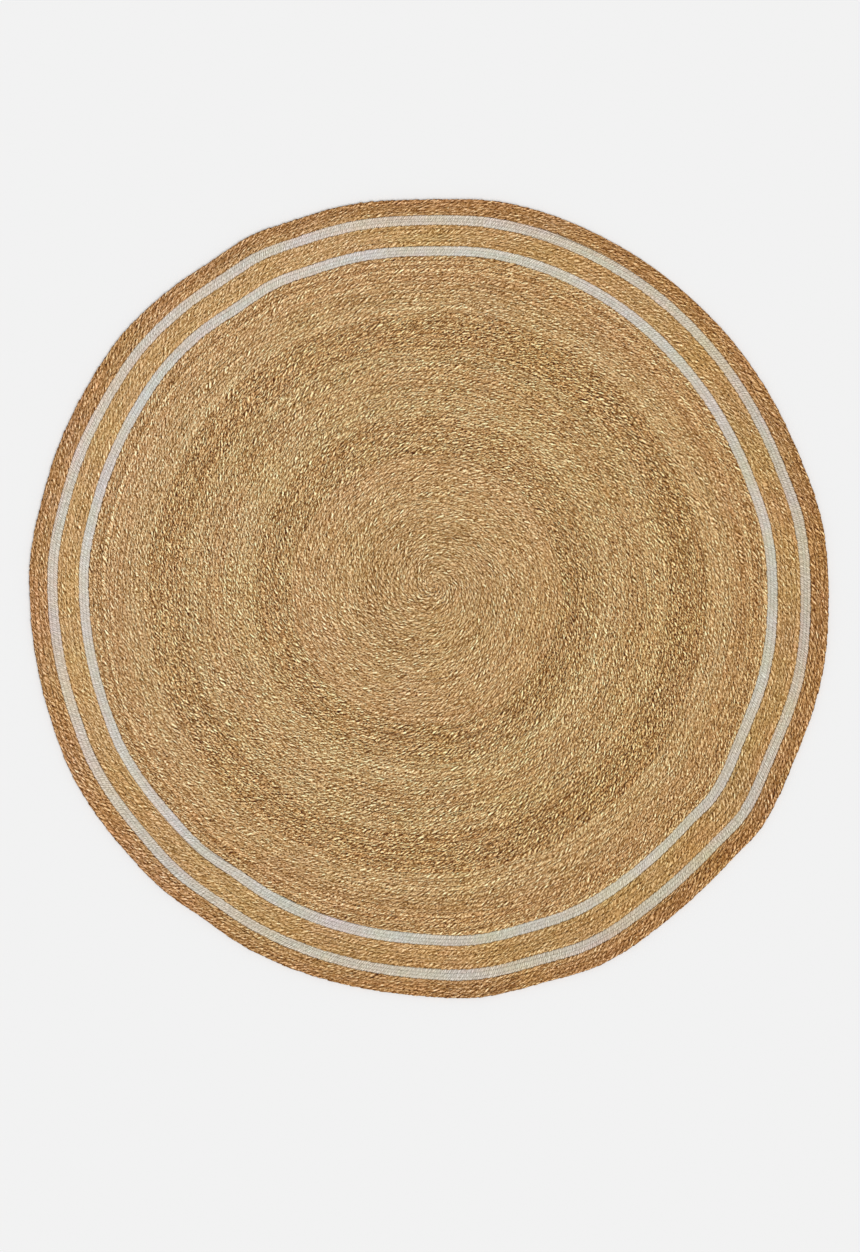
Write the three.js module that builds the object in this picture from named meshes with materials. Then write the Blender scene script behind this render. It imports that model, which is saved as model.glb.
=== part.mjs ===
// Round seagrass rug: a coiled field, then an inner pale stripe, a middle ring, an outer pale stripe
// and a border, each a run of cord sewn edge to edge round the one before.
// Millimetres, +Z up. The rug lies flat on z = 0, and its box is centred on the origin.

import * as THREE from 'three';

// Driving dimensions
const SEAGRASS_THICKNESS = 8;
const PALE_THICKNESS = 6.5;
const SEWING_GAP = 0.3;
const CORD_BEVEL = 1.5;
const RIM_ROUNDING = 2.5;
const SECTION_COUNT = 144;

// The rug is sewn by hand, so its rim has soft corners and its rings swell and narrow on the way round.
// angle is in degrees counter-clockwise from +X about the outline's middle, rim is the radius there,
// and the other columns are the widths of the rings from the rim inwards.
const OUTLINE = [
  { angle: 0, rim: 747, border: 34, outerStripe: 19, middleRing: 43, innerStripe: 19 },
  { angle: 12, rim: 748, border: 33, outerStripe: 20, middleRing: 43, innerStripe: 19 },
  { angle: 20, rim: 742, border: 33, outerStripe: 19, middleRing: 42, innerStripe: 19 },
  { angle: 40, rim: 743, border: 32, outerStripe: 18, middleRing: 42, innerStripe: 19 },
  { angle: 60, rim: 748, border: 30, outerStripe: 19, middleRing: 39, innerStripe: 19 },
  { angle: 80, rim: 753, border: 32, outerStripe: 19, middleRing: 39, innerStripe: 18 },
  { angle: 90, rim: 746, border: 30, outerStripe: 18, middleRing: 40, innerStripe: 18 },
  { angle: 102, rim: 752, border: 32, outerStripe: 19, middleRing: 39, innerStripe: 19 },
  { angle: 110, rim: 752, border: 32, outerStripe: 18, middleRing: 40, innerStripe: 19 },
  { angle: 116, rim: 757, border: 32, outerStripe: 19, middleRing: 40, innerStripe: 19 },
  { angle: 123, rim: 752, border: 31, outerStripe: 19, middleRing: 40, innerStripe: 19 },
  { angle: 130, rim: 756, border: 33, outerStripe: 18, middleRing: 39, innerStripe: 19 },
  { angle: 140, rim: 759, border: 35, outerStripe: 18, middleRing: 40, innerStripe: 18 },
  { angle: 147, rim: 755, border: 35, outerStripe: 18, middleRing: 40, innerStripe: 18 },
  { angle: 158, rim: 752, border: 33, outerStripe: 20, middleRing: 40, innerStripe: 18 },
  { angle: 165, rim: 750, border: 33, outerStripe: 19, middleRing: 40, innerStripe: 18 },
  { angle: 174, rim: 753, border: 34, outerStripe: 19, middleRing: 40, innerStripe: 18 },
  { angle: 183, rim: 749, border: 34, outerStripe: 19, middleRing: 40, innerStripe: 18 },
  { angle: 200, rim: 747, border: 36, outerStripe: 19, middleRing: 40, innerStripe: 18 },
  { angle: 205, rim: 749, border: 36, outerStripe: 19, middleRing: 41, innerStripe: 18 },
  { angle: 220, rim: 743, border: 36, outerStripe: 19, middleRing: 42, innerStripe: 18 },
  { angle: 228, rim: 742, border: 34, outerStripe: 19, middleRing: 43, innerStripe: 18 },
  { angle: 235, rim: 736, border: 32, outerStripe: 18, middleRing: 45, innerStripe: 19 },
  { angle: 240, rim: 740, border: 34, outerStripe: 18, middleRing: 44, innerStripe: 20 },
  { angle: 260, rim: 743, border: 33, outerStripe: 19, middleRing: 43, innerStripe: 20 },
  { angle: 269, rim: 747, border: 33, outerStripe: 20, middleRing: 44, innerStripe: 20 },
  { angle: 277, rim: 755, border: 34, outerStripe: 21, middleRing: 44, innerStripe: 19 },
  { angle: 287, rim: 752, border: 34, outerStripe: 20, middleRing: 44, innerStripe: 19 },
  { angle: 295, rim: 759, border: 35, outerStripe: 20, middleRing: 47, innerStripe: 19 },
  { angle: 307, rim: 750, border: 35, outerStripe: 20, middleRing: 44, innerStripe: 18 },
  { angle: 320, rim: 749, border: 34, outerStripe: 19, middleRing: 46, innerStripe: 18 },
  { angle: 325, rim: 756, border: 34, outerStripe: 19, middleRing: 46, innerStripe: 19 },
  { angle: 336, rim: 747, border: 35, outerStripe: 20, middleRing: 44, innerStripe: 19 },
  { angle: 348, rim: 749, border: 33, outerStripe: 20, middleRing: 44, innerStripe: 20 },
];
const RINGS = ['border', 'outerStripe', 'middleRing', 'innerStripe'];

// Materials
const fieldMaterial = new THREE.MeshStandardMaterial({ color: 0xb99767, roughness: 0.85, metalness: 0 });
const ringMaterial = new THREE.MeshStandardMaterial({ color: 0xbd9560, roughness: 0.85, metalness: 0 });
const borderMaterial = new THREE.MeshStandardMaterial({ color: 0xa97c4b, roughness: 0.85, metalness: 0 });
const paleMaterial = new THREE.MeshStandardMaterial({ color: 0xc6bfb0, roughness: 0.9, metalness: 0 });

// Outline worked out at every section
function outlineCurve() {
  const rows = [...OUTLINE, { ...OUTLINE[0], angle: OUTLINE[0].angle + 360 }];
  const angles = rows.map((row) => row.angle);
  const values = rows.flatMap((row) => [row.rim, ...RINGS.map((ring) => row[ring])]);
  const curve = new THREE.CubicInterpolant(angles, values, 1 + RINGS.length);
  curve.settings = { endingStart: THREE.WrapAroundEnding, endingEnd: THREE.WrapAroundEnding };
  return curve;
}

// Each section lists its direction and the radii of its five edges, from the rim inwards.
function makeSections() {
  const curve = outlineCurve();
  return Array.from({ length: SECTION_COUNT }, (_, index) => {
    const degrees = (index * 360) / SECTION_COUNT;
    const [rim, ...widths] = curve.evaluate(degrees);
    const edges = [rim];
    for (const width of widths) {
      edges.push(edges[edges.length - 1] - width);
    }
    const angle = THREE.MathUtils.degToRad(degrees);
    return { x: Math.cos(angle), y: Math.sin(angle), edges };
  });
}

function boxMiddle(sections) {
  const box = new THREE.Box2();
  for (const { x, y, edges } of sections) {
    box.expandByPoint(new THREE.Vector2(x * edges[0], y * edges[0]));
  }
  return box.getCenter(new THREE.Vector2());
}

function geometryFrom(points, triangles) {
  const geometry = new THREE.BufferGeometry();
  geometry.setAttribute('position', new THREE.Float32BufferAttribute(points.flat(), 3));
  geometry.setIndex(triangles.flat());
  geometry.computeVertexNormals();
  return geometry;
}

// Joins each section's row of points to the next section's, counter-clockwise round the rug.
// A profile that closes on itself makes a ring, and an open one is left for its ends to be capped.
function skinTriangles(rowLength, closed) {
  const triangles = [];
  const spans = closed ? rowLength : rowLength - 1;
  for (let section = 0; section < SECTION_COUNT; section += 1) {
    const here = section * rowLength;
    const next = ((section + 1) % SECTION_COUNT) * rowLength;
    for (let span = 0; span < spans; span += 1) {
      const after = (span + 1) % rowLength;
      triangles.push([here + span, next + span, next + after]);
      triangles.push([here + span, next + after, here + after]);
    }
  }
  return triangles;
}

// Ring of cord between two edges of the outline. Its profile runs round from the inner foot,
// out along the floor, up the outer side and back over the top.
function ringGeometry(sections, outerEdge, thickness, rimRounding) {
  const points = [];
  for (const { x, y, edges } of sections) {
    const outer = outerEdge === 0 ? edges[0] : edges[outerEdge] - SEWING_GAP / 2;
    const inner = edges[outerEdge + 1] + SEWING_GAP / 2;
    const outerTop = Math.max(CORD_BEVEL, rimRounding);
    const profile = [
      [inner, 0],
      [outer - rimRounding, 0],
      ...(rimRounding > 0 ? [[outer, rimRounding]] : []),
      [outer, thickness - outerTop],
      [outer - outerTop, thickness],
      [inner + CORD_BEVEL, thickness],
      [inner, thickness - CORD_BEVEL],
    ];
    points.push(...profile.map(([radius, height]) => [x * radius, y * radius, height]));
  }
  return geometryFrom(points, skinTriangles(points.length / SECTION_COUNT, true));
}

// Round field: one disc, flat above and below, with its upper edge bevelled.
function discGeometry(sections, thickness) {
  const points = [];
  for (const { x, y, edges } of sections) {
    const outer = edges[RINGS.length] - SEWING_GAP / 2;
    const profile = [
      [outer, 0],
      [outer, thickness - CORD_BEVEL],
      [outer - CORD_BEVEL, thickness],
    ];
    points.push(...profile.map(([radius, height]) => [x * radius, y * radius, height]));
  }
  const rowLength = points.length / SECTION_COUNT;
  const triangles = skinTriangles(rowLength, false);
  const bottomCentre = points.push([0, 0, 0]) - 1;
  const topCentre = points.push([0, 0, thickness]) - 1;
  for (let section = 0; section < SECTION_COUNT; section += 1) {
    const here = section * rowLength;
    const next = ((section + 1) % SECTION_COUNT) * rowLength;
    triangles.push([bottomCentre, next, here]);
    triangles.push([topCentre, here + rowLength - 1, next + rowLength - 1]);
  }
  return geometryFrom(points, triangles);
}

// Rug
const rug = new THREE.Group();
const sections = makeSections();

function addPiece(name, geometry, material) {
  const mesh = new THREE.Mesh(geometry, material);
  mesh.name = name;
  rug.add(mesh);
}

addPiece('field', discGeometry(sections, SEAGRASS_THICKNESS), fieldMaterial);
addPiece('inner_stripe', ringGeometry(sections, 3, PALE_THICKNESS, 0), paleMaterial);
addPiece('middle_ring', ringGeometry(sections, 2, SEAGRASS_THICKNESS, 0), ringMaterial);
addPiece('outer_stripe', ringGeometry(sections, 1, PALE_THICKNESS, 0), paleMaterial);
addPiece('border', ringGeometry(sections, 0, SEAGRASS_THICKNESS, RIM_ROUNDING), borderMaterial);

const middle = boxMiddle(sections);
rug.position.set(-middle.x, -middle.y, 0);

export default rug;
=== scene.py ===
# Round seagrass rug, coiled from twisted cord, with two pale cord stripes near its rim.
# Metres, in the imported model's frame: the rug lies on z = 0 and its box is centred on the origin.
import math

import bpy
import numpy as np
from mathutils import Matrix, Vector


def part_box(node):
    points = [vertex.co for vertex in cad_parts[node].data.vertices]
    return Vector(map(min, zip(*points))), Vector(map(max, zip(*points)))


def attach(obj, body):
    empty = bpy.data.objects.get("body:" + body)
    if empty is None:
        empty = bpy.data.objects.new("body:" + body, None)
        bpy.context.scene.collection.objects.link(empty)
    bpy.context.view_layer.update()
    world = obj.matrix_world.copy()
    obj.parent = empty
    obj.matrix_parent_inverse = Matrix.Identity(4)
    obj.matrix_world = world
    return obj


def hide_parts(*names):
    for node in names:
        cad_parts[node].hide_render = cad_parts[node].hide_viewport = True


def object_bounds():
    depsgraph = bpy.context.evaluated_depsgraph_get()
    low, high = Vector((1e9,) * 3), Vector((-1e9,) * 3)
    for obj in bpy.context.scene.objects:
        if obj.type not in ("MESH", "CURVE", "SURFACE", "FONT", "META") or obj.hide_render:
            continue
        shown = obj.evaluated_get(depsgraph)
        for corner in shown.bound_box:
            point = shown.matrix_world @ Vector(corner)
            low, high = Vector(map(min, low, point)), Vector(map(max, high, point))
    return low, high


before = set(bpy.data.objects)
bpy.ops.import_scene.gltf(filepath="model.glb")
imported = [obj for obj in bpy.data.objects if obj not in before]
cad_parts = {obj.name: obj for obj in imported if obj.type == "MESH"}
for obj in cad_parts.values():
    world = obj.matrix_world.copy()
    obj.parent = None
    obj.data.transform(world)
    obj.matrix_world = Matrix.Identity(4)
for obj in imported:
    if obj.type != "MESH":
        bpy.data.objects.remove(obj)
cad_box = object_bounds()

# Named sizes
MM = 0.001
TAU = 2 * math.pi

# Seeds of the random draws: the coil's is SEED, and each ring's is RING_SEEDS more than the last.
SEED = 7
RING_SEEDS = 10

# Directions in which the CAD pieces' edges have their points
CAD_SECTIONS = 144

# The coil isn't quite round: the middle of its rows drifts as they grow. share is how far out the
# row is, and x and y its middle, in millimetres.
COIL_MIDDLES = [
    {"share": 0, "x": 10.5, "y": 24},
    {"share": 0.25, "x": -4, "y": 17},
    {"share": 0.5, "x": -7.5, "y": 17},
    {"share": 0.8, "x": -4, "y": 9},
    {"share": 1, "x": 0, "y": 0},
]
COIL_ROWS = 80
COIL_PIECES = 4

# The cord's outer end tapers at the splice, over COIL_LEAD turns. Its inner end tapers over
# CENTRE_LEAD turns, to CENTRE_WIDTH of a row.
COIL_SPLICE = math.radians(238)
COIL_LEAD = 0.12
CENTRE_LEAD = 0.25
CENTRE_WIDTH = 0.25

# A row follows the shape of the coil's edge by its share to this power.
EDGE_FOLLOWING = 3

# How far inside the CAD piece's edge the coil ends, to allow for the bulge of its cord
COIL_INSET = 0.2 * MM

# The thinnest bit of every taper at a splice is left off, as a share of the taper.
TAPER_CUT = 0.02

# How far the line between two rows strays, in rows, and the length of that swaying, in turns
SWAY = 0.26
SWAY_TURNS = 0.03

# How many points a cord's swaying is worked out at, and its length so far for each of its rows
SWAY_POINTS = 30000
LENGTH_POINTS_A_ROW = 720

# Section of a cord, from its inner side over its top to its outer side and back underneath.
# across is a share of its half width, up a share of its height, depth how deep the groove between
# two strands is there, and turn how much of a strand's whole turn round the cord lies before it.
# The first TOP_SPANS spans between its points are its upper side.
SEAGRASS_SECTION = [
    {"across": -1.12, "up": 0.88, "depth": 0.22, "turn": 0.0},
    {"across": -0.60, "up": 0.94, "depth": 0.20, "turn": 0.147},
    {"across": 0.60, "up": 0.94, "depth": 0.20, "turn": 0.353},
    {"across": 1.12, "up": 0.88, "depth": 0.22, "turn": 0.5},
    {"across": 0.0, "up": 0.0, "depth": 0.0, "turn": 0.75},
]
PALE_SECTION = [
    {"across": -1.24, "up": 1.0, "depth": 0.16, "turn": 0.0},
    {"across": -0.55, "up": 1.05, "depth": 0.16, "turn": 0.147},
    {"across": 0.55, "up": 1.05, "depth": 0.16, "turn": 0.353},
    {"across": 1.24, "up": 1.0, "depth": 0.16, "turn": 0.5},
    {"across": 0.0, "up": 0.05, "depth": 0.0, "turn": 0.75},
]
TOP_SPANS = 3

# How much narrower a cord is at a groove, as a share of the groove's depth
PINCH = 0.35

# Share of its height that a cord would keep where it tapers to nothing
TIP_HEIGHT = 0.25

# A cord's first strokes are twisted tighter. The first is TIGHTEST of a stroke long, and each is
# longer than the one before by a stroke over TIGHT_STROKES.
TIGHTEST = 0.15
TIGHT_STROKES = 14

# Each mesh column bulges by itself too, by this share of its strand's own jitter.
COLUMN_BULGE = 0.4

# Kinds of cord. stroke is how much of the row one strand takes, and phases are the mesh columns of
# a stroke from its groove onwards. The jitters are random shares. The last four are how much
# lighter or darker strands are, in steps of 255: each stroke by itself, each strand along its way,
# each short stretch of cord and each batch of it.
SEAGRASS = {
    "section": SEAGRASS_SECTION,
    "stroke": 10.7 * MM,
    "plies": 3,
    "phases": [0.0, 0.25, 0.75],
    "length_jitter": 0.4,
    "bulge_jitter": 0.12,
    "own_steps": 1.5,
    "strand_steps": 2.5,
    "stretch_steps": 4.5,
    "batch_steps": 8,
}

# The rings' seagrass varies less from batch to batch.
RING_SEAGRASS = {**SEAGRASS, "batch_steps": 6.5}

PALE = {
    "section": PALE_SECTION,
    "stroke": 4.2 * MM,
    "plies": 3,
    "phases": [0.0, 0.5],
    "length_jitter": 0.12,
    "bulge_jitter": 0.05,
    "own_steps": 4,
    "strand_steps": 2,
    "stretch_steps": 1,
    "batch_steps": 3,
}

# Batches of cord in the coil, by the row where each starts. light is how much lighter it is and
# red how much redder, both in steps of 255, and contrast a share of the usual contrast within the
# cord. They change over BATCH_SPLICE rows.
COIL_BATCHES = [
    {"row": -1, "light": 9, "red": -1.5, "contrast": 0.8},
    {"row": 1, "light": -0.5, "red": -2, "contrast": 0.8},
    {"row": 4, "light": -7, "red": -1.5, "contrast": 0.8},
    {"row": 12, "light": -6, "red": -1, "contrast": 0.84},
    {"row": 18, "light": -1.5, "red": 0, "contrast": 0.84},
    {"row": 22, "light": 3, "red": -0.5, "contrast": 0.84},
    {"row": 24, "light": -2.5, "red": 0.5, "contrast": 0.84},
    {"row": 32, "light": -10.5, "red": -1.3, "contrast": 1.15},
    {"row": 41, "light": 6, "red": -3, "contrast": 0.98},
    {"row": 46.5, "light": 2, "red": -2.5, "contrast": 1},
    {"row": 48, "light": -1, "red": -0.5, "contrast": 0.98},
    {"row": 52, "light": 1.5, "red": -2, "contrast": 1.04},
    {"row": 57.3, "light": -11, "red": 0, "contrast": 1.22},
    {"row": 64, "light": -14, "red": 0.5, "contrast": 1.16},
    {"row": 66.1, "light": 3, "red": -1, "contrast": 0.86},
    {"row": 71.8, "light": -3, "red": 1, "contrast": 0.84},
    {"row": 73.5, "light": -7, "red": 2, "contrast": 0.84},
    {"row": 76, "light": 6, "red": 2.2, "contrast": 0.95},
    {"row": 76.8, "light": -15, "red": 2.2, "contrast": 0.95},
    {"row": 77.8, "light": 8, "red": 1, "contrast": 0.9},
    {"row": 78.6, "light": -10, "red": 1, "contrast": 0.9},
    {"row": 79.4, "light": 1, "red": 0.5, "contrast": 0.9},
]
BATCH_SPLICE = 0.4

# More contrast within a cord also makes it look lighter, less red and less yellow. These take that
# back, in steps of 255 for each 1 of contrast.
LIGHT_OF_CONTRAST = 24
RED_OF_CONTRAST = 11
YELLOW_OF_CONTRAST = 9

# Rings of cord sewn round the coil, from the inside out. splice is where their ends pass each
# other, in degrees, and lead how far they taper, in turns. insets are how far inside the CAD
# piece's two edges the rows end, to allow for the bulge of the cord.
RINGS = [
    {
        "node": "inner_stripe",
        "slot": "pale_cord",
        "rows": 3,
        "splice": 238,
        "lead": 0.05,
        "insets": (0, 0),
    },
    {
        "node": "middle_ring",
        "slot": "seagrass_golden",
        "rows": 5,
        "splice": 238,
        "lead": 0.12,
        "insets": (0.2 * MM, 0.2 * MM),
    },
    {
        "node": "outer_stripe",
        "slot": "pale_cord",
        "rows": 3,
        "splice": 80,
        "lead": 0.05,
        "insets": (0, 0),
    },
    {
        "node": "border",
        "slot": "seagrass_border",
        "rows": 4,
        "splice": 80,
        "lead": 0.12,
        "insets": (0.2 * MM, 0.6 * MM),
    },
]

# Tones of the rings, in steps of 255. light and red are how much lighter and redder each is at its
# inner edge, along its middle and at its outer edge, patches how much lighter and redder it is in
# places, and contrast is as in the coil.
RING_TONES = {
    "inner_stripe": {
        "light": (4, 3.5, 4),
        "red": (-2.4, -4.8, -2.4),
        "patches": (2.4, 2.4),
        "contrast": 0.85,
    },
    "middle_ring": {
        "light": (3.5, 2, 0.5),
        "red": (-0.6, -0.1, 0.4),
        "patches": (1.6, 1.6),
        "contrast": 0.95,
    },
    "outer_stripe": {
        "light": (-0.5, -1, -0.5),
        "red": (1.4, -1.4, 1.4),
        "patches": (1.8, 3.2),
        "contrast": 1,
    },
    "border": {
        "light": (5, -1, -4),
        "red": (-2, 0, 0.5),
        "patches": (0.8, 1.7),
        "contrast": 0.97,
    },
}

# The rug is painted a little lighter towards one side, as painted light falling more on that side,
# and is a little redder and yellower towards others. The steps of the lighter and redder sides are
# reached at the coil's edge, and those of the yellower side are for each metre.
PAINTED_LIGHT_SIDE = math.radians(140)
PAINTED_LIGHT_SIDE_STEPS = 4.5
RED_SIDE = math.radians(0)
RED_SIDE_STEPS = 0.7
YELLOW_SIDE = math.radians(350)
YELLOW_SIDE_STEPS = 2.6

# Soft patches of tone are sums of waves. Each wave has fewer crests round the rug than crests says,
# and at most so many radians lie between the inner edge, or the coil's middle, and the outer edge.
COIL_LIGHT_PATCHES = {"waves": 8, "crests": 6, "radians": 27}
COIL_RED_PATCHES = {"waves": 8, "crests": 6, "radians": 18}
RING_PATCHES = {"waves": 24, "crests": 24, "radians": 3}
COIL_PATCH_STEPS = {"light": 1.2, "red": 0.4}

# How far apart the random tones of the cord lie, in strokes: along each strand, from one stretch
# and batch to the next, and those of its redness
STRAND_SPACING = 25.0
STRETCH_SPACING = 12.0
BATCH_SPACING = 90.0
TINT_SPACING = 50.0

# How much redder or less red strands are, in steps of 255: each stroke by itself, and each stretch
OWN_TINT = 1.2
STRETCH_TINT = 1.5

# The tones that a vertex can hold, in steps of 255 from the lowest to the highest, the most
# painted highlight that a strand's top may carry, where 1 is usual, and the most contrast
STEP_RANGE = 240
RED_RANGE = 40
MOST_PAINTED_SHINE = 4
MOST_CONTRAST = 2

# Patterns in the fibre, in cells. Blades of grass have so many for each metre of cord and so many
# round it, and lie at a slant. Grains have so many for each metre across their strand and along
# it. Each gets painted light on one side and painted shade on the other by taking away a copy of
# itself that lies so many cells away.
BLADES_A_METRE = 140.0
BLADES_ROUND = 14.0
BLADE_SLANT = -0.8
BLADE_SHADE = (0, 1.6)
GRAINS_ACROSS = 750.0
GRAINS_ALONG = 380.0
GRAIN_SHADE = (1.9, 0)

# Each stroke's blades start at their own place in the pattern, up to this many cells away.
RANDOM_CELLS = 99.0

# Fibres are a noise, with so many waves for each metre across their strand and along it.
FIBRES = (1500, 120, 1)

# The painted highlight and the extra smoothness on the top of a strand reach further round the cord,
# and the painted shade at its sides is narrower, the nearer this is to 0.
TOP_FALLOFF = 0.35

# A cord's colour ramp has this many stops, and no part of a colour on it is darker than DARKEST.
COLOUR_STOPS = 9
DARKEST = 8

# How much smoother the cord is where its fibres stand out, and on the tops of its strands, and how
# high the fibres stand
FIBRE_POLISH = 0.18
TOP_POLISH = 0.08
FIBRE_HEIGHT = 0.4 * MM

# What one step of redness and one of yellowness do to a colour, as shares of its own red, green
# and blue
REDDER = (0.0073, -0.006, -0.0087)
YELLOWER = (0.0, 0.001, -0.0265)

# Looks of the cords, by their material's slot. cord_material says what each value is.
CORD_LOOKS = {
    "seagrass": {
        "colour": (179, 137, 84),
        "painted_ridge_light": 8,
        "painted_shine": 42,
        "blades_and_painted_shade": 98,
        "grain_and_painted_shade": 112,
        "fibres": 20,
        "yellow": 9,
        "bump": 0.5,
        "roughness": 0.72,
    },
    "seagrass_golden": {
        "colour": (180, 140, 86),
        "painted_ridge_light": 8,
        "painted_shine": 32,
        "blades_and_painted_shade": 70,
        "grain_and_painted_shade": 76,
        "fibres": 20,
        "yellow": 22,
        "bump": 0.5,
        "roughness": 0.72,
    },
    "seagrass_border": {
        "colour": (165, 120, 69),
        "painted_ridge_light": 8,
        "painted_shine": 36,
        "blades_and_painted_shade": 86,
        "grain_and_painted_shade": 72,
        "fibres": 20,
        "yellow": 22,
        "bump": 0.5,
        "roughness": 0.74,
    },
    "pale_cord": {
        "colour": (198, 186, 168),
        "painted_ridge_light": 22,
        "painted_shine": 10,
        "blades_and_painted_shade": 10,
        "grain_and_painted_shade": 44,
        "fibres": 16,
        "yellow": 25,
        "bump": 0.35,
        "roughness": 0.82,
    },
}

# Empty border round each half of a map for baked pictures, as a share of it
BAKE_MARGIN = 0.01

# Floor and light
FLOOR_RADIUS = 40.0
FLOOR_SIDES = 64
FLOOR_COLOUR = (0.8, 0.8, 0.8, 1)
FLOOR_ROUGHNESS = 0.9
SKY_STRENGTH = 0.42
KEY_STRENGTH = 2.24
KEY_BREADTH = math.radians(50)
KEY_TILT = math.radians(15)
KEY_SIDE = math.radians(35)

# The photograph's view of the rug
PHOTO_SIZE = (860, 1252)
RUG_MIDDLE_PX = (429.0, 598.8)
RUG_WIDTH_PX = 798.7
CAMERA_HEIGHT = 5.0
SENSOR_MM = 36.0


# Soft random shapes
def ease(share):
    """A share kept from 0 to 1 and eased at both ends."""
    share = np.clip(share, 0, 1)
    return share * share * (3 - 2 * share)


def smooth_noise(rng, position, spacing):
    """Random values from -1 to 1, spacing apart along a line and eased between."""
    cell = position / spacing
    first = math.floor(cell.min())
    values = rng.uniform(-1, 1, math.floor(cell.max()) - first + 2)
    index = np.floor(cell).astype(int)
    share = ease(cell - index)
    return values[index - first] * (1 - share) + values[index - first + 1] * share


def round_noise(rng, share, direction, waves, crests, radians):
    """Random values that change softly over a disc, mostly from -1 to 1."""
    total = 0
    for _ in range(waves):
        round_it = rng.integers(0, crests)
        outwards = rng.uniform(-radians, radians)
        phase = rng.uniform(0, TAU)
        total = total + np.sin(round_it * direction + outwards * share + phase)
    return total / math.sqrt(waves)


# Edges of the CAD pieces
class Edge:
    """A CAD piece's inner or outer edge: its radius about the origin, for any direction."""

    def __init__(self, node, outer):
        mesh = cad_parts[node].data
        flat = np.empty(len(mesh.vertices) * 3)
        mesh.vertices.foreach_get("co", flat)
        x, y, _ = flat.reshape(-1, 3).T
        section = np.round(np.arctan2(y, x) / TAU * CAD_SECTIONS).astype(int) % CAD_SECTIONS
        radius = np.hypot(x, y)
        if outer:
            found = np.zeros(CAD_SECTIONS)
            np.maximum.at(found, section, radius)
        else:
            found = np.full(CAD_SECTIONS, np.inf)
            np.minimum.at(found, section, radius)
        self.directions = np.arange(CAD_SECTIONS + 1) * TAU / CAD_SECTIONS
        self.radii = np.append(found, found[0])
        self.mean = float(found.mean())

    def __call__(self, direction):
        return np.interp(direction % TAU, self.directions, self.radii)


# Where the rows lie
class Ring:
    """Rows of cord between a ring node's two edges. Its cord winds clockwise and outwards, and its
    two ends taper past each other at the splice, over lead turns."""

    def __init__(self, node, rows, splice, lead, insets):
        self.inner = Edge(node, False)
        self.outer = Edge(node, True)
        self.insets = insets
        self.rows = rows
        self.splice = splice
        self.lead = lead
        self.first_turn = TAPER_CUT * lead
        self.last_turn = rows + (1 - TAPER_CUT) * lead

    def row_edges(self, turn):
        """Where the cord's inner edge is at each turn, its width, and the outer row's edge there,
        all in rows from the ring's inner edge."""
        whole = np.floor(turn)
        step = ease((turn - whole) / self.lead)
        inner = np.where(whole == 0, 0, whole - 1 + step)
        width = np.where(whole == 0, step, np.where(whole == self.rows, 1 - step, 1))
        return inner, width, np.full(turn.shape, float(self.rows))

    def point(self, share, direction):
        """The point in a direction that is a share of the way between the ring's edges."""
        inner = self.inner(direction) + self.insets[0]
        outer = self.outer(direction) - self.insets[1]
        radius = inner * (1 - share) + outer * share
        return np.stack([radius * np.cos(direction), radius * np.sin(direction)], -1)


class Coil:
    """Rows of cord wound clockwise from the coil's centre: round there, and more and more like the
    outline further out. The cord's outer end tapers at the splice, over lead turns."""

    def __init__(self, node, rows, splice, lead):
        self.outer = Edge(node, True)
        self.rows = rows
        self.splice = splice
        self.lead = lead
        self.first_turn = -CENTRE_LEAD
        self.last_turn = rows - TAPER_CUT * lead

    def row_edges(self, turn):
        """Where the cord's inner edge is at each turn, its width, and the outer row's edge there,
        all in rows from the coil's middle."""
        whole = np.floor(turn)
        part = turn - whole
        step = ease((part - 1 + self.lead) / self.lead)
        narrowing = (1 - CENTRE_WIDTH) / CENTRE_LEAD
        width = np.where(whole == self.rows - 1, 1 - step, 1 + narrowing * np.minimum(turn, 0))
        inner = turn - 0.5 + np.where(turn < 0, 1 - width, 0)
        return inner, width, self.rows - 0.5 + part - step

    def point(self, share, direction):
        """The point in a direction that is a share of the way from the middle to the edge."""
        following = np.clip(share, 0, 1) ** EDGE_FOLLOWING
        outer = self.outer.mean * (1 - following) + self.outer(direction) * following
        radius = share * (outer - COIL_INSET)
        shares = [m["share"] for m in COIL_MIDDLES]
        x = MM * np.interp(share, shares, [m["x"] for m in COIL_MIDDLES])
        y = MM * np.interp(share, shares, [m["y"] for m in COIL_MIDDLES])
        return np.stack([x + radius * np.cos(direction), y + radius * np.sin(direction)], -1)


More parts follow.
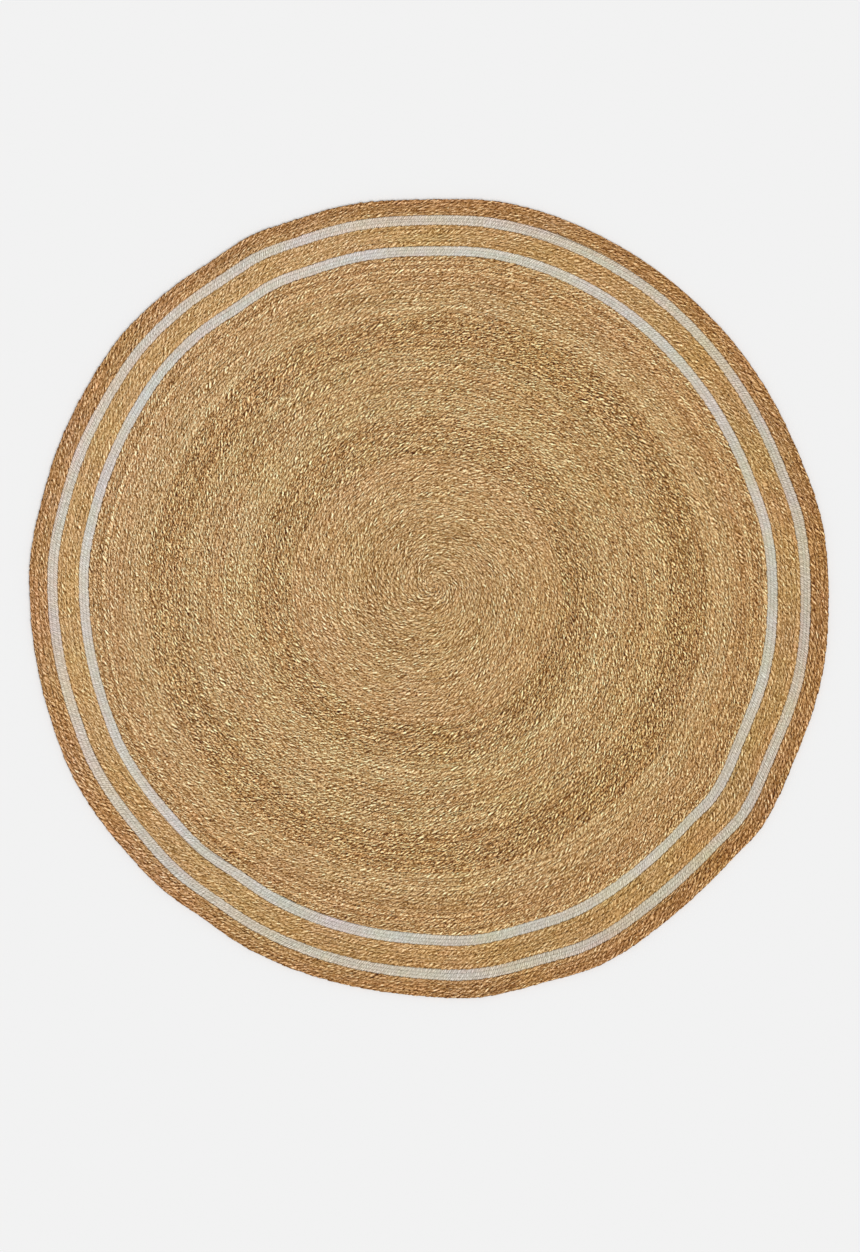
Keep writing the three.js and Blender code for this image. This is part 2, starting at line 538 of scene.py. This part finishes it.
class Cord:
    """One long cord laid along the rows of a ring or coil, twisted from several strands. Its mesh
    has a column of vertices on each groove and shoulder, and the columns wind round it as the
    strands do, so that a column's far end is a later column's near end."""

    def __init__(self, rows, kind, height, rng):
        self.rows = rows
        self.kind = kind
        self.height = height
        self.sway_line = np.linspace(rows.first_turn, rows.last_turn + 1, SWAY_POINTS)
        self.sway = SWAY * smooth_noise(rng, self.sway_line, SWAY_TURNS)
        points = rows.rows * LENGTH_POINTS_A_ROW
        self.turns = np.linspace(rows.first_turn, rows.last_turn, points)
        middle, _, _ = self.place(self.turns)
        steps = np.hypot(*np.diff(middle, axis=0).T)
        self.lengths = np.concatenate([[0], np.cumsum(steps)])
        self.lay_columns(rng)

    def lay_columns(self, rng):
        """Lengths of the strokes, and the place and bulge of each mesh column."""
        kind = self.kind
        per_stroke = len(kind["phases"])
        strokes = int(self.lengths[-1] / kind["stroke"])
        jitter = kind["length_jitter"] * rng.uniform(-1, 1, strokes)
        tightened = np.clip(TIGHTEST + np.arange(strokes) / TIGHT_STROKES, 0, 1)
        ends = np.concatenate([[0], np.cumsum((1 + jitter) * tightened)])
        ends *= self.lengths[-1] / ends[-1]
        starts = np.repeat(ends[:-1], per_stroke)
        spans = np.repeat(np.diff(ends), per_stroke)
        phases = np.tile(kind["phases"], strokes)
        self.along = starts + spans * phases
        self.groove = (phases == 0).astype(float)
        self.stroke = np.repeat(np.arange(strokes), per_stroke)
        bulge = np.repeat(rng.uniform(-1, 1, strokes), per_stroke)
        bulge += COLUMN_BULGE * rng.uniform(-1, 1, self.along.size)
        self.bulge = kind["bulge_jitter"] * bulge
        self.strokes = strokes
        self.lay = per_stroke * kind["plies"]
        self.columns = self.along.size - self.lay

    def place(self, turn):
        """The cord's middle, the way to its outer side, and its width as a share of a row."""
        inner, width, along_ray = self.rows.row_edges(turn)
        direction = self.rows.splice - TAU * turn
        outer = inner + width
        inner_share = (inner + self.stray(inner, along_ray, turn)) / along_ray
        outer_share = (outer + self.stray(outer, along_ray, turn + 1)) / along_ray
        inner_point = self.rows.point(inner_share, direction)
        outer_point = self.rows.point(outer_share, direction)
        return (inner_point + outer_point) / 2, (outer_point - inner_point) / 2, width

    def stray(self, edge, along_ray, line):
        """How far the line between two rows sways, in rows: none at the piece's own edges."""
        freedom = np.clip(np.minimum(edge, along_ray - edge), 0, 1)
        return np.interp(line, self.sway_line, self.sway) * freedom

    def grid(self, first, last):
        """Points of the columns first to last and of one lay past them, and each one's turn."""
        column = np.arange(first, last + self.lay)
        section = self.kind["section"]
        around = np.array([[s["across"], s["up"], s["depth"]] for s in section])
        advance = np.array([s["turn"] for s in section])
        near = self.along[column]
        far = self.along[np.minimum(column + self.lay, self.along.size - 1)]
        along = near[:, None] + (far - near)[:, None] * advance
        turn = np.interp(along, self.lengths, self.turns)
        middle, half, width = self.place(turn)
        bulge = self.bulge[column][:, None]
        groove = self.groove[column][:, None] * around[:, 2]
        across = around[:, 0] * (1 + bulge - PINCH * groove)
        up = around[:, 1] * (1 + bulge / 2 - groove)
        thinning = TIP_HEIGHT + (1 - TIP_HEIGHT) * np.sqrt(np.clip(width, 0, 1))
        points = np.empty(turn.shape + (3,))
        points[..., :2] = middle + half * across[..., None]
        points[..., 2] = up * self.height * thinning
        return points, turn


# Meshes
def new_mesh(name, vertices, faces):
    """A smooth mesh, and the vertices of its faces' corners in a row. faces is a list of arrays,
    each of faces with the same number of corners."""
    corners = np.concatenate([f.ravel() for f in faces])
    sizes = np.concatenate([np.full(len(f), f.shape[1]) for f in faces])
    mesh = bpy.data.meshes.new(name)
    mesh.vertices.add(len(vertices))
    mesh.vertices.foreach_set("co", vertices.ravel())
    mesh.loops.add(corners.size)
    mesh.loops.foreach_set("vertex_index", corners)
    mesh.polygons.add(sizes.size)
    mesh.polygons.foreach_set("loop_start", np.concatenate([[0], np.cumsum(sizes)[:-1]]))
    mesh.polygons.foreach_set("use_smooth", np.ones(sizes.size, bool))
    mesh.update(calc_edges=True)
    mesh.validate()
    return mesh, corners


def mesh_piece(cord, first, last, tones, name):
    """The cord's columns first to last as one closed mesh, with its strands' tones and its maps."""
    lay = cord.lay
    count = last - first
    points, turn = cord.grid(first, last)
    kept = np.ones(points.shape[:2], bool)
    kept[count:, 1:] = False
    number = np.cumsum(kept.ravel()).reshape(kept.shape) - 1
    vertices = points[kept]

    here = np.concatenate([number[:count], number[lay : lay + count, :1]], axis=1)
    quads = np.stack([here[:-1, :-1], here[1:, :-1], here[1:, 1:], here[:-1, 1:]], -1)
    start = np.concatenate([here[0], number[lay - 1 : 0 : -1, 0]])
    end = np.concatenate([here[-1], number[count + lay - 2 : count - 1 : -1, 0]])
    start_tip = len(vertices)
    end_tip = start_tip + 1
    vertices = np.vstack([vertices, vertices[start].mean(0), vertices[end].mean(0)])
    start_fan = np.stack([np.full(start.size, start_tip), start, np.roll(start, -1)], -1)
    end_fan = np.stack([np.full(end.size, end_tip), np.roll(end, -1), end], -1)

    mesh, corners = new_mesh(name, vertices, [quads.reshape(-1, 4), start_fan, end_fan])

    colours = np.ones((len(vertices), 4))
    shading = tones(cord, np.arange(first, last + lay), turn)
    colours[:start_tip] = shading[kept]
    colours[start_tip] = colours[start].mean(0)
    colours[end_tip] = colours[end].mean(0)
    attribute = mesh.attributes.new("strand", "FLOAT_COLOR", "POINT")
    attribute.data.foreach_set("color", colours.ravel())

    fibre_map(mesh, cord, first, count, quads.shape, corners.size)
    bake_map(mesh, vertices, corners, quads.shape)
    return mesh


def fibre_map(mesh, cord, first, count, grid, corner_count):
    """A map in metres that runs across the strands in U and along them in V, and a second one
    that counts strokes in U and turns round the cord in V."""
    turned = np.array([s["turn"] for s in cord.kind["section"]] + [1.0])
    lay = cord.kind["stroke"] * cord.kind["plies"]
    column = np.arange(first, first + count)
    phases = np.append(cord.kind["phases"], 1.0)
    phase = column[:-1] % len(cord.kind["phases"])
    corners = ((0, 0), (1, 0), (1, 1), (0, 1))
    fibre = np.empty(grid[:3] + (2,))
    strand = np.empty(grid[:3] + (2,))
    for corner, (step, side) in enumerate(corners):
        around = turned[side : side + grid[1]]
        fibre[:, :, corner, 0] = cord.along[column[step : step + count - 1], None]
        fibre[:, :, corner, 1] = lay * around
        strand[:, :, corner, 0] = (cord.stroke[column[:-1]] + phases[phase + step])[:, None]
        strand[:, :, corner, 1] = around
    for name, quads in (("Fibre", fibre), ("Strand", strand)):
        maps = np.zeros((corner_count, 2))
        maps[: quads.size // 2] = quads.reshape(-1, 2)
        layer = mesh.uv_layers.new(name=name)
        layer.data.foreach_set("uv", maps.ravel())


def bake_map(mesh, vertices, corners, grid):
    """A map for baked pictures: the piece from above on the left and from below on the right."""
    low = vertices[:, :2].min(0)
    span = (vertices[:, :2].max(0) - low).max()
    place = (vertices[corners, :2] - low) / span * (1 - 2 * BAKE_MARGIN) + BAKE_MARGIN
    below = np.zeros(corners.size, bool)
    quad = np.zeros((grid[0], grid[1], 4), bool)
    quad[:, TOP_SPANS:] = True
    below[: quad.size] = quad.ravel()
    place[:, 0] = place[:, 0] / 2 + below / 2
    layer = mesh.uv_layers.new(name="OFBake")
    layer.data.foreach_set("uv", place.ravel())


# Tones of the strands
def strand_tones(cord, column, turn, light, red, contrast, rng):
    """Each vertex's lightness and redness, as steps from the material's own colour, how much painted
    highlight its strand's top carries, and its contrast. All four are shares of their range."""
    kind = cord.kind
    strokes = np.arange(cord.strokes)
    own = kind["own_steps"] * rng.standard_normal(cord.strokes)
    strand = np.empty(cord.strokes)
    for ply in range(kind["plies"]):
        mine = strokes % kind["plies"] == ply
        strand[mine] = smooth_noise(rng, strokes[mine], STRAND_SPACING)
    batch = smooth_noise(rng, strokes, BATCH_SPACING)
    stretch = smooth_noise(rng, strokes, STRETCH_SPACING)
    steps = own + kind["strand_steps"] * strand + kind["stretch_steps"] * stretch
    steps += kind["batch_steps"] * batch
    tint = OWN_TINT * rng.standard_normal(cord.strokes)
    tint += STRETCH_TINT * smooth_noise(rng, strokes, TINT_SPACING)
    # Painted highlight: how much lighter each strand's top is painted, a lot in only a few strands
    painted_shine = rng.exponential(1.0, cord.strokes) / MOST_PAINTED_SHINE
    stroke = cord.stroke[column]
    before = np.maximum(stroke - 1, 0)
    groove = cord.groove[column]
    steps = steps[stroke] * (1 - groove / 2) + steps[before] * groove / 2
    tint = tint[stroke] * (1 - groove / 2) + tint[before] * groove / 2
    found = np.empty(turn.shape + (4,))
    found[..., 0] = 0.5 + (light + steps[:, None]) / STEP_RANGE
    found[..., 1] = 0.5 + (red + tint[:, None]) / RED_RANGE
    found[..., 2] = np.minimum(painted_shine[stroke], 1)[:, None]
    found[..., 3] = contrast / MOST_CONTRAST
    return found


def coil_tones(seed):
    """A function for the tones of the coil's cord, which go by its batches."""

    def tones(cord, column, turn):
        rng = np.random.default_rng(seed)
        direction = cord.rows.splice - TAU * turn
        share = turn / COIL_ROWS
        lighter = COIL_PATCH_STEPS["light"] * round_noise(rng, share, direction, **COIL_LIGHT_PATCHES)
        redder = COIL_PATCH_STEPS["red"] * round_noise(rng, share, direction, **COIL_RED_PATCHES)
        contrast = np.zeros(turn.shape)
        before = {"light": 0, "red": 0, "contrast": 0}
        for batch in COIL_BATCHES:
            begun = ease((turn - batch["row"]) / BATCH_SPLICE + 0.5)
            lighter += begun * (batch["light"] - before["light"])
            redder += begun * (batch["red"] - before["red"])
            contrast += begun * (batch["contrast"] - before["contrast"])
            before = batch
        lighter -= LIGHT_OF_CONTRAST * (contrast - 1)
        redder += RED_OF_CONTRAST * (contrast - 1)
        # Painted light: the coil is painted lighter towards one side, more so further out
        lighter += PAINTED_LIGHT_SIDE_STEPS * share * np.cos(direction - PAINTED_LIGHT_SIDE)
        redder += RED_SIDE_STEPS * share * np.cos(direction - RED_SIDE)
        return strand_tones(cord, column, turn, lighter, redder, contrast, rng)

    return tones


def ring_tones(node, seed):
    """A function for the tones of a ring's cord, which go by its rows."""

    def tones(cord, column, turn):
        rng = np.random.default_rng(seed)
        direction = cord.rows.splice - TAU * turn
        inner, width, rows = cord.rows.row_edges(turn)
        share = (inner + width / 2) / rows
        found = RING_TONES[node]
        lighter = np.interp(share, (0, 0.5, 1), found["light"])
        redder = np.interp(share, (0, 0.5, 1), found["red"])
        lighter += found["patches"][0] * round_noise(rng, share, direction, **RING_PATCHES)
        redder += found["patches"][1] * round_noise(rng, share, direction, **RING_PATCHES)
        # Painted light: the ring is painted lighter towards one side
        lighter += PAINTED_LIGHT_SIDE_STEPS * np.cos(direction - PAINTED_LIGHT_SIDE)
        redder += RED_SIDE_STEPS * np.cos(direction - RED_SIDE)
        contrast = np.full(turn.shape, found["contrast"])
        return strand_tones(cord, column, turn, lighter, redder, contrast, rng)

    return tones


# Materials
def srgb(red, green, blue):
    """A colour as seen on a screen, 0 to 255, in the renderer's own linear units."""
    parts = [c / 255 for c in (red, green, blue)]
    return tuple(p / 12.92 if p < 0.04045 else ((p + 0.055) / 1.055) ** 2.4 for p in parts) + (1,)


class Nodes:
    """Short names for making a material's nodes."""

    def __init__(self, name):
        self.material = bpy.data.materials.new(name)
        self.material.use_nodes = True
        self.tree = self.material.node_tree
        self.shader = self.tree.nodes["Principled BSDF"]

    def link(self, source, target):
        """Gives a socket another one's value, or a number or tuple."""
        if isinstance(source, (int, float, tuple)):
            target.default_value = source
        else:
            self.tree.links.new(source, target)

    def math(self, operation, first, second=0.0, third=0.0):
        node = self.tree.nodes.new("ShaderNodeMath")
        node.operation = operation
        for value, socket in zip((first, second, third), node.inputs):
            self.link(value, socket)
        return node.outputs[0]

    def multiply_add(self, value, colour, added):
        """The value times a colour plus another, for red, green and blue each."""
        node = self.tree.nodes.new("ShaderNodeVectorMath")
        node.operation = "MULTIPLY_ADD"
        for source, socket in zip((value, colour, added), node.inputs):
            self.link(source, socket)
        return node.outputs[0]

    def multiplied(self, first, second):
        """One colour times another."""
        node = self.tree.nodes.new("ShaderNodeMix")
        node.data_type = "RGBA"
        node.blend_type = "MULTIPLY"
        self.link(1.0, node.inputs["Factor"])
        self.link(first, node.inputs["A"])
        self.link(second, node.inputs["B"])
        return node.outputs["Result"]

    def ramp(self, factor, stops):
        node = self.tree.nodes.new("ShaderNodeValToRGB")
        self.link(factor, node.inputs["Fac"])
        elements = node.color_ramp.elements
        while len(elements) < len(stops):
            elements.new(0.5)
        for element, (place, colour) in zip(elements, stops):
            element.position = place
            element.color = colour
        return node.outputs["Color"]

    def noise(self, vector, scale, detail, roughness):
        node = self.tree.nodes.new("ShaderNodeTexNoise")
        self.link(vector, node.inputs["Vector"])
        node.inputs["Scale"].default_value = scale
        node.inputs["Detail"].default_value = detail
        node.inputs["Roughness"].default_value = roughness
        return node.outputs["Fac"]

    def around_zero(self, value, size):
        """A value from 0 to 1, moved and scaled to one from -size / 2 to size / 2."""
        return self.math("MULTIPLY_ADD", value, size, -size / 2)

    def uv_map(self, name):
        node = self.tree.nodes.new("ShaderNodeUVMap")
        node.uv_map = name
        return node.outputs["UV"]

    def uv_parts(self, name):
        node = self.tree.nodes.new("ShaderNodeSeparateXYZ")
        self.link(self.uv_map(name), node.inputs[0])
        return node.outputs[0], node.outputs[1]

    def joined(self, first, second):
        node = self.tree.nodes.new("ShaderNodeCombineXYZ")
        self.link(first, node.inputs[0])
        self.link(second, node.inputs[1])
        return node.outputs[0]

    def random(self, value):
        """A random value for each whole number."""
        node = self.tree.nodes.new("ShaderNodeTexWhiteNoise")
        node.noise_dimensions = "1D"
        self.link(value, node.inputs["W"])
        return node.outputs["Value"]

    def cells(self, across, along):
        """Irregular cells of random values."""
        node = self.tree.nodes.new("ShaderNodeTexVoronoi")
        node.voronoi_dimensions = "2D"
        self.link(self.joined(across, along), node.inputs["Vector"])
        node.inputs["Scale"].default_value = 1.0
        parts = self.tree.nodes.new("ShaderNodeSeparateColor")
        self.link(node.outputs["Color"], parts.inputs["Color"])
        return parts.outputs[0]

    def shaded_cells(self, across, along, shift):
        """Cells of random values less the same cells shifted, which is 0 on average: painted light on
        one side of each cell and painted shade on the other.
        """
        shifted = [self.math("ADD", a, s) for a, s in zip((across, along), shift)]
        return self.math("SUBTRACT", self.cells(across, along), self.cells(*shifted))

    def towards(self, place, direction, steps):
        """How far a place lies in a direction along the floor, in metres, times steps."""
        node = self.tree.nodes.new("ShaderNodeVectorMath")
        node.operation = "DOT_PRODUCT"
        self.link(place, node.inputs[0])
        node.inputs[1].default_value = (steps * math.cos(direction), steps * math.sin(direction), 0)
        return node.outputs["Value"]

    def stretched(self, vector, scale):
        """A vector times a scale for each axis."""
        node = self.tree.nodes.new("ShaderNodeMapping")
        self.link(vector, node.inputs["Vector"])
        node.inputs["Scale"].default_value = scale
        return node.outputs["Vector"]


def strand_tops(nodes, stroke, turned):
    """1 along the top of every strand, and 0 in its grooves and at the cord's sides."""
    wave = nodes.math("SINE", nodes.math("MULTIPLY", stroke, math.pi))
    over = nodes.math("SINE", nodes.math("MULTIPLY", turned, TAU))
    over = nodes.math("POWER", nodes.math("ABSOLUTE", over), TOP_FALLOFF)
    return nodes.math("MULTIPLY", nodes.math("POWER", wave, 2.0), over)


def blades_with_painted_shade(nodes, stroke, turned, across, along):
    """A strand's blades of grass, which lie nearly along the cord. They are random tones, with
    painted light on one side and painted shade on the other."""
    start = nodes.math("MULTIPLY", nodes.random(nodes.math("FLOOR", stroke)), RANDOM_CELLS)
    lengthwise = nodes.math("ADD", across, along)
    lengthwise = nodes.math("MULTIPLY_ADD", lengthwise, BLADES_A_METRE, start)
    crosswise = nodes.math("MULTIPLY", turned, BLADES_ROUND)
    crosswise = nodes.math("MULTIPLY_ADD", lengthwise, BLADE_SLANT, crosswise)
    return nodes.shaded_cells(lengthwise, crosswise, BLADE_SHADE)


def grain_with_painted_shade(nodes, across, along):
    """The grain along a strand, random tones with painted light on one side and painted shade on the
    other too.
    """
    across = nodes.math("MULTIPLY", across, GRAINS_ACROSS)
    along = nodes.math("MULTIPLY", along, GRAINS_ALONG)
    return nodes.shaded_cells(across, along, GRAIN_SHADE)


def colour_of_tone(nodes, colour, tone):
    """The cord's colour at a tone from 0 to 1, where its own colour is in the middle."""
    stops = []
    for stop in range(COLOUR_STOPS):
        share = stop / (COLOUR_STOPS - 1)
        steps = (share - 0.5) * STEP_RANGE
        stops.append((share, srgb(*(min(max(c + steps, DARKEST), 255) for c in colour))))
    return nodes.ramp(tone, stops)


def tinted(nodes, colour, redness, strength, yellow):
    """A colour made redder by the cord's redness, and yellower in patches, towards the rug's
    yellower side and by the cord's contrast."""
    place = nodes.tree.nodes.new("ShaderNodeTexCoord").outputs["Object"]
    patches = nodes.noise(place, scale=7.0, detail=4.0, roughness=0.65)
    side = nodes.towards(place, YELLOW_SIDE, YELLOW_SIDE_STEPS)
    steps = nodes.math("ADD", nodes.around_zero(patches, yellow), side)
    contrasted = nodes.math("MULTIPLY_ADD", strength, YELLOW_OF_CONTRAST, -YELLOW_OF_CONTRAST)
    steps = nodes.math("ADD", steps, contrasted)
    reddest = tuple(RED_RANGE * part for part in REDDER)
    tint = nodes.multiply_add(nodes.around_zero(redness, 1.0), reddest, (1, 1, 1))
    tint = nodes.multiply_add(steps, YELLOWER, tint)
    return nodes.multiplied(colour, tint)


def cord_material(name, colour, painted_ridge_light, painted_shine, blades_and_painted_shade, grain_and_painted_shade, fibres, yellow, bump, roughness):
    """Twisted fibre of one colour. painted_ridge_light is how much lighter the top of every strand is
    painted than its grooves and the cord's sides, a painted highlight on the tops with painted shade
    in the grooves and between the rows, and painted_shine how much more painted highlight there is on
    average, with most of it in a few strands. blades_and_painted_shade, grain_and_painted_shade and
    fibres are how much lighter and darker, at most, its blades of grass, its grain and its fibres
    are;
    the blades and the grain are random tones with painted light on one side and painted shade on the
    other. yellow is how much yellower it is at most in some patches than in others. All these are in
    steps of 255. bump is the strength of the fibres' relief."""
    nodes = Nodes(name)
    strand = nodes.tree.nodes.new("ShaderNodeAttribute")
    strand.attribute_name = "strand"
    parts = nodes.tree.nodes.new("ShaderNodeSeparateColor")
    nodes.link(strand.outputs["Color"], parts.inputs["Color"])
    tone, redness, painted_shine_share = parts.outputs
    strength = nodes.math("MULTIPLY", strand.outputs["Alpha"], MOST_CONTRAST)

    stroke, turned = nodes.uv_parts("Strand")
    across, along = nodes.uv_parts("Fibre")
    top = strand_tops(nodes, stroke, turned)
    blade_tones_and_shade = blades_with_painted_shade(nodes, stroke, turned, across, along)
    grain_tones_and_shade = grain_with_painted_shade(nodes, across, along)
    fibre = nodes.stretched(nodes.uv_map("Fibre"), FIBRES)
    fibre = nodes.noise(fibre, scale=1.0, detail=3.0, roughness=0.6)
    # Painted highlight along the tops of the strands, with painted shade in their grooves and at the
    # cord's sides
    lighter = nodes.math("MULTIPLY_ADD", painted_shine_share, MOST_PAINTED_SHINE * painted_shine / STEP_RANGE, painted_ridge_light / STEP_RANGE)
    detail = nodes.math("MULTIPLY", lighter, nodes.around_zero(top, 1.0))
    # Blades and grain: random tones with painted light and painted shade on opposite sides of each
    detail = nodes.math("MULTIPLY_ADD", blade_tones_and_shade, blades_and_painted_shade / STEP_RANGE, detail)
    detail = nodes.math("MULTIPLY_ADD", grain_tones_and_shade, grain_and_painted_shade / STEP_RANGE, detail)
    detail = nodes.math("ADD", detail, nodes.around_zero(fibre, 2 * fibres / STEP_RANGE))
    tone = nodes.math("MULTIPLY_ADD", strength, detail, tone)
    found = colour_of_tone(nodes, colour, tone)
    found = tinted(nodes, found, redness, strength, yellow)
    nodes.link(found, nodes.shader.inputs["Base Color"])

    # Both polishes are taken off a roughness that is higher by half of them, so that it's as given
    # where both patterns are at their middle.
    rough = roughness + (FIBRE_POLISH + TOP_POLISH) / 2
    rough = nodes.math("MULTIPLY_ADD", fibre, -FIBRE_POLISH, rough)
    rough = nodes.math("MULTIPLY_ADD", top, -TOP_POLISH, rough)
    nodes.link(rough, nodes.shader.inputs["Roughness"])
    nodes.shader.inputs["IOR"].default_value = 1.45
    nodes.shader.inputs["Specular IOR Level"].default_value = 0.2

    relief = nodes.tree.nodes.new("ShaderNodeBump")
    relief.inputs["Strength"].default_value = bump
    relief.inputs["Distance"].default_value = FIBRE_HEIGHT
    nodes.link(fibre, relief.inputs["Height"])
    nodes.link(relief.outputs["Normal"], nodes.shader.inputs["Normal"])
    return nodes.material


MATERIALS = {slot: cord_material(slot, **look) for slot, look in CORD_LOOKS.items()}


# Pieces
def declare_sheet(piece, cord, first, last):
    """Works out where the cord's columns first to last lie, and then the points of the piece's mesh
    for the coil's first piece, or the mean length round for the others. It returns nothing."""
    inside = slice(first, last)
    turn = np.interp(cord.along[inside], cord.lengths, cord.turns)
    middle, half, _ = cord.place(turn)

    # The coil's first piece is a disc, whose mesh's points are read. The others are rings of rows,
    # whose mean length round is worked out.
    if isinstance(cord.rows, Coil) and first == 0:
        points = np.empty(len(piece.data.vertices) * 3)
        piece.data.vertices.foreach_get("co", points)
    else:
        length = TAU * float(np.hypot(*middle.T).mean())


def add_piece(name, cord, first, last, node, slot, tones):
    mesh = mesh_piece(cord, first, last, tones, name)
    mesh.materials.append(MATERIALS[slot])
    piece = bpy.data.objects.new(name, mesh)
    bpy.context.scene.collection.objects.link(piece)
    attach(piece, "root")
    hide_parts(node)
    declare_sheet(piece, cord, first, last)


def make_coil():
    node = "field"
    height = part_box(node)[1].z
    rows = Coil(node, COIL_ROWS, COIL_SPLICE, COIL_LEAD)
    cord = Cord(rows, SEAGRASS, height, np.random.default_rng(SEED))
    tones = coil_tones(SEED + 1)
    cuts = np.linspace(0, cord.columns - 1, COIL_PIECES + 1).astype(int)
    for index in range(COIL_PIECES):
        last = cuts[index + 1] + 1
        add_piece(f"coil_{index + 1}", cord, cuts[index], last, node, "seagrass", tones)


def make_ring(ring, seed):
    node = ring["node"]
    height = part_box(node)[1].z
    splice = math.radians(ring["splice"])
    rows = Ring(node, ring["rows"], splice, ring["lead"], ring["insets"])
    kind = PALE if ring["slot"] == "pale_cord" else RING_SEAGRASS
    cord = Cord(rows, kind, height, np.random.default_rng(seed))
    tones = ring_tones(node, seed + 1)
    add_piece(f"{node}_cord", cord, 0, cord.columns, node, ring["slot"], tones)


make_coil()
for index, ring in enumerate(RINGS):
    make_ring(ring, SEED + RING_SEEDS * (index + 1))


# Floor, light and camera
def plain_material(name, colour, roughness):
    nodes = Nodes(name)
    nodes.shader.inputs["Base Color"].default_value = colour
    nodes.shader.inputs["Roughness"].default_value = roughness
    nodes.shader.inputs["Specular IOR Level"].default_value = 0.0
    return nodes.material


def make_floor():
    mesh = bpy.data.meshes.new("floor")
    angles = np.arange(FLOOR_SIDES) * TAU / FLOOR_SIDES
    rim = [(FLOOR_RADIUS * math.cos(a), FLOOR_RADIUS * math.sin(a), 0) for a in angles]
    mesh.from_pydata(rim, [], [list(range(FLOOR_SIDES))])
    mesh.materials.append(plain_material("floor", FLOOR_COLOUR, FLOOR_ROUGHNESS))
    floor = bpy.data.objects.new("floor", mesh)
    bpy.context.scene.collection.objects.link(floor)


def make_light():
    world = bpy.data.worlds.new("studio")
    world.use_nodes = True
    background = world.node_tree.nodes["Background"]
    background.inputs["Color"].default_value = (1, 1, 1, 1)
    background.inputs["Strength"].default_value = SKY_STRENGTH
    bpy.context.scene.world = world
    sun = bpy.data.lights.new("key", "SUN")
    sun.energy = KEY_STRENGTH
    sun.angle = KEY_BREADTH
    key = bpy.data.objects.new("key", sun)
    key.rotation_euler = (KEY_TILT, 0, KEY_SIDE)
    bpy.context.scene.collection.objects.link(key)


def make_camera():
    low, high = cad_box
    metres_per_px = (high.x - low.x) / RUG_WIDTH_PX
    data = bpy.data.cameras.new("camera")
    data.sensor_fit = "AUTO"
    data.sensor_width = SENSOR_MM
    data.lens = SENSOR_MM * CAMERA_HEIGHT / (PHOTO_SIZE[1] * metres_per_px)
    camera = bpy.data.objects.new("camera", data)
    camera.location = (
        (PHOTO_SIZE[0] / 2 - RUG_MIDDLE_PX[0]) * metres_per_px,
        (RUG_MIDDLE_PX[1] - PHOTO_SIZE[1] / 2) * metres_per_px,
        CAMERA_HEIGHT,
    )
    bpy.context.scene.collection.objects.link(camera)
    bpy.context.scene.camera = camera


make_floor()
make_light()
make_camera()
bpy.context.scene.view_settings.view_transform = "Standard"
